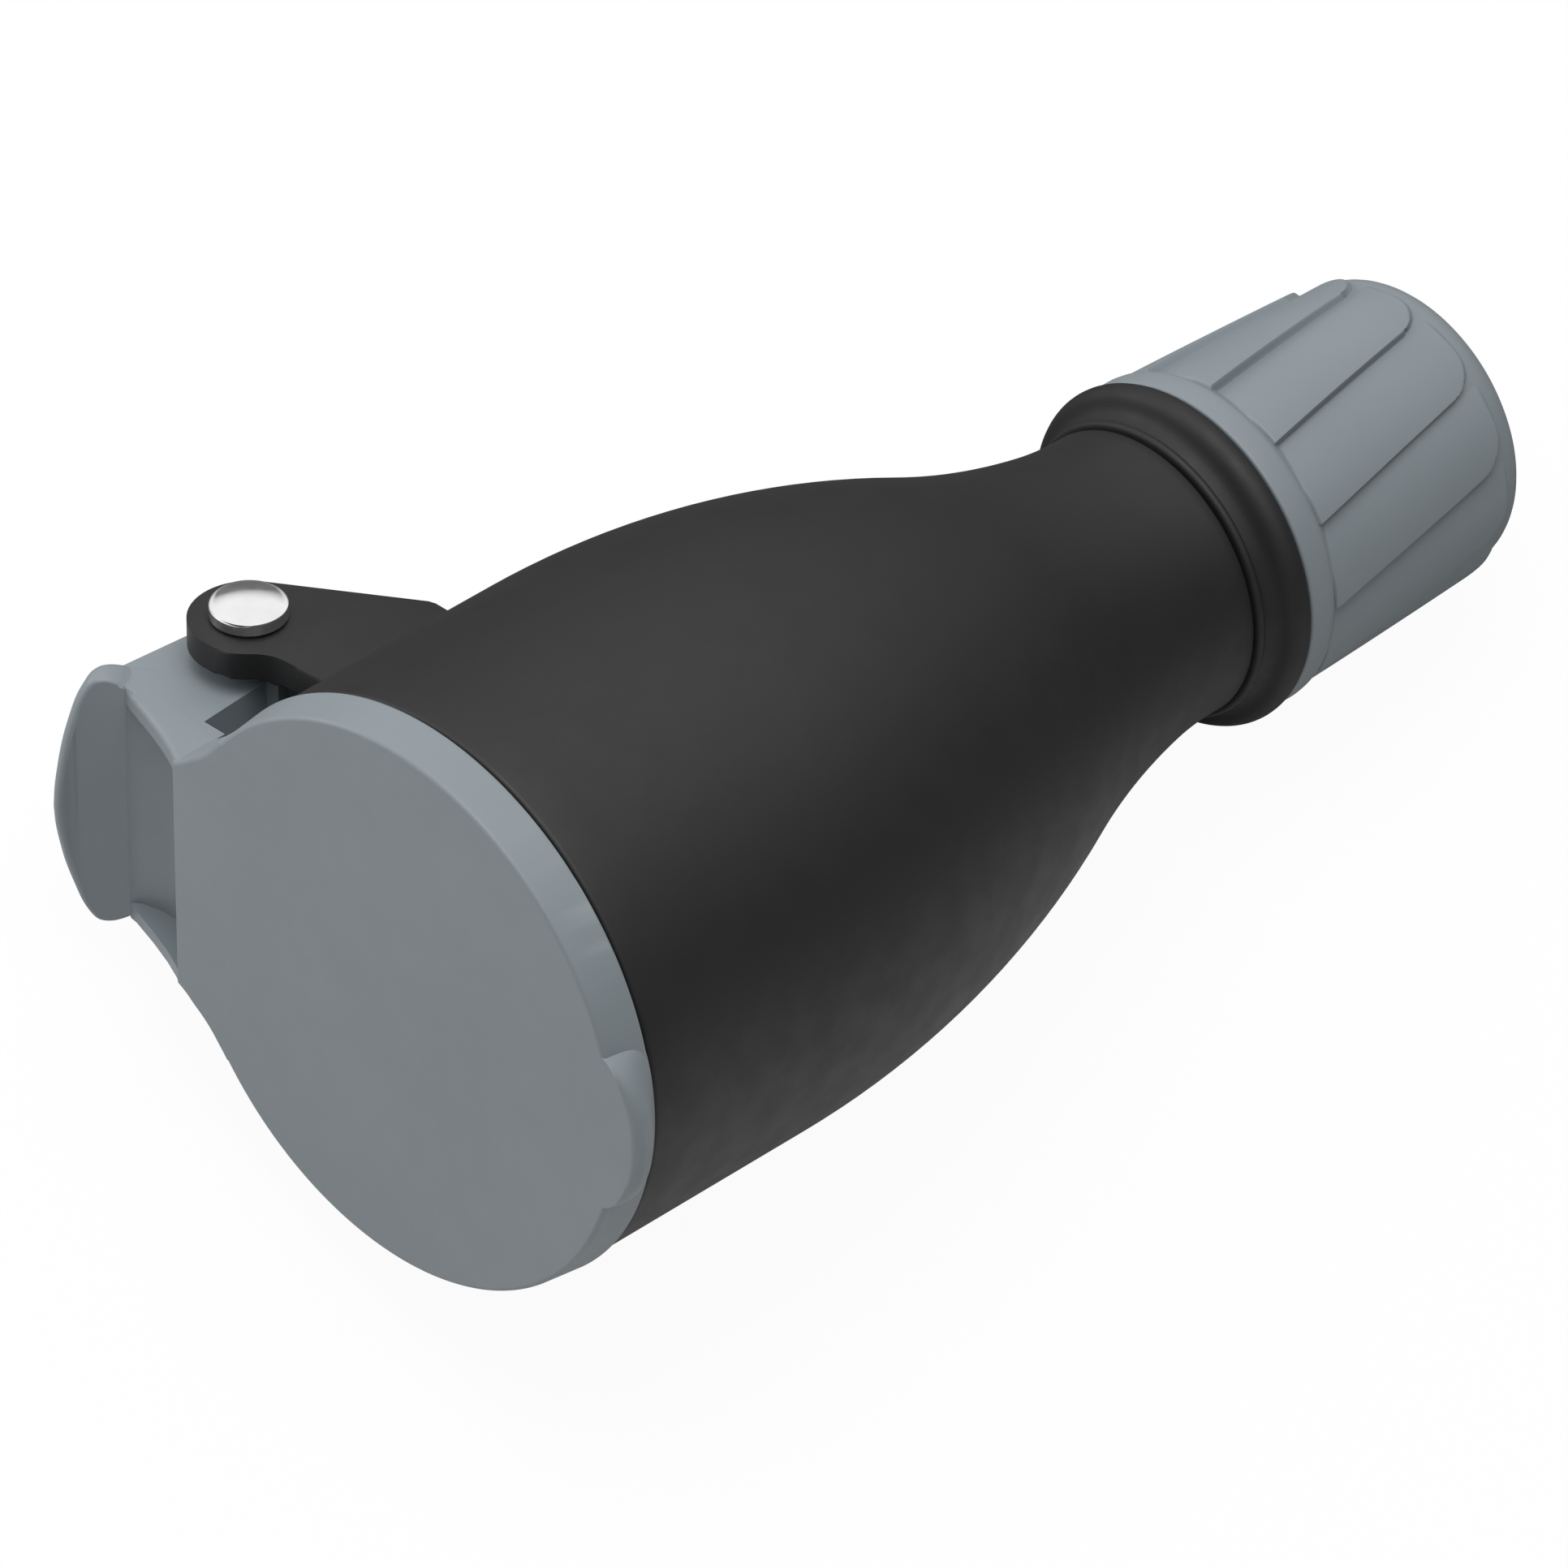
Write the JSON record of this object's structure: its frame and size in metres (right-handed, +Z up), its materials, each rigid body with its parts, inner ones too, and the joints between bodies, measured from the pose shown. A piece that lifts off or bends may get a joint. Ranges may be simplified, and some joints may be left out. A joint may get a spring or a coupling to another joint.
{
  "type": "rubber schuko coupler",
  "caption": "Rubber mains coupler with a hinged round lid over its earthed socket and a fluted gland nut at the cord end.",
  "frame": {"origin": "centre of the bounding box on the floor, with the coupler lying at rest and its lid closed", "axes": "+Y roughly along the body from the lid to the gland nut, which is the lower end, +Z up, hinge on the -X side"},
  "size_m": [0.0718, 0.1306, 0.0589],
  "materials": {
    "black_rubber": "matte",
    "grey_plastic": "satin",
    "seal_rubber": "matte",
    "polished_steel": "polished",
    "spring_steel": "satin",
    "insert_plastic": "satin",
    "carrier_plastic": "satin",
    "brass": "satin",
    "screw_steel": "satin",
    "black_plastic": "satin",
    "cage_plastic": "satin"
  },
  "bodies": {
    "housing": {"housing": "black_rubber", "hinge_rivet": "polished_steel", "rivet_washer": "polished_steel", "hinge_spring": "spring_steel", "socket_insert": "insert_plastic", "contact_carrier": "carrier_plastic", "live_contact_left": "brass", "live_contact_right": "brass", "earth_bracket": "spring_steel", "earth_terminal": "brass", "terminal_screws": "screw_steel", "carrier_screws": "screw_steel", "gland_body": "black_plastic", "gland_o_ring": "seal_rubber", "clamp_cage": "cage_plastic", "cord_seal": "seal_rubber"},
    "lid": {"lid": "grey_plastic", "lid_seal": "seal_rubber"},
    "nut_carrier": {"thrust_washer": "cage_plastic"},
    "nut": {"gland_nut": "grey_plastic"}
  },
  "joints": [
    {"name": "lid_hinge", "type": "hinge", "parent": "housing", "child": "lid", "pos_m": [-0.02311, -0.04877, 0.01773], "axis": [0.3817, -0.1352, -0.9143], "range_deg": [0, 110], "stiffness_Nm_per_rad": 0.03, "springref_deg": -57.3, "deforming": ["hinge_spring"]},
    {"name": "nut_travel", "type": "slide", "parent": "housing", "child": "nut_carrier", "axis": [0, 0.9892, -0.1463], "range_m": [0, 0.003]},
    {"name": "nut_turn", "type": "hinge", "parent": "nut_carrier", "child": "nut", "pos_m": [0.00721, 0.06356, 0.01377], "axis": [0, 0.9892, -0.1463], "range_deg": [0, 720]}
  ],
  "couplings": [
    {"joint": "nut_turn", "follows": "nut_travel", "rad_per_m": 4188.8}
  ]
}
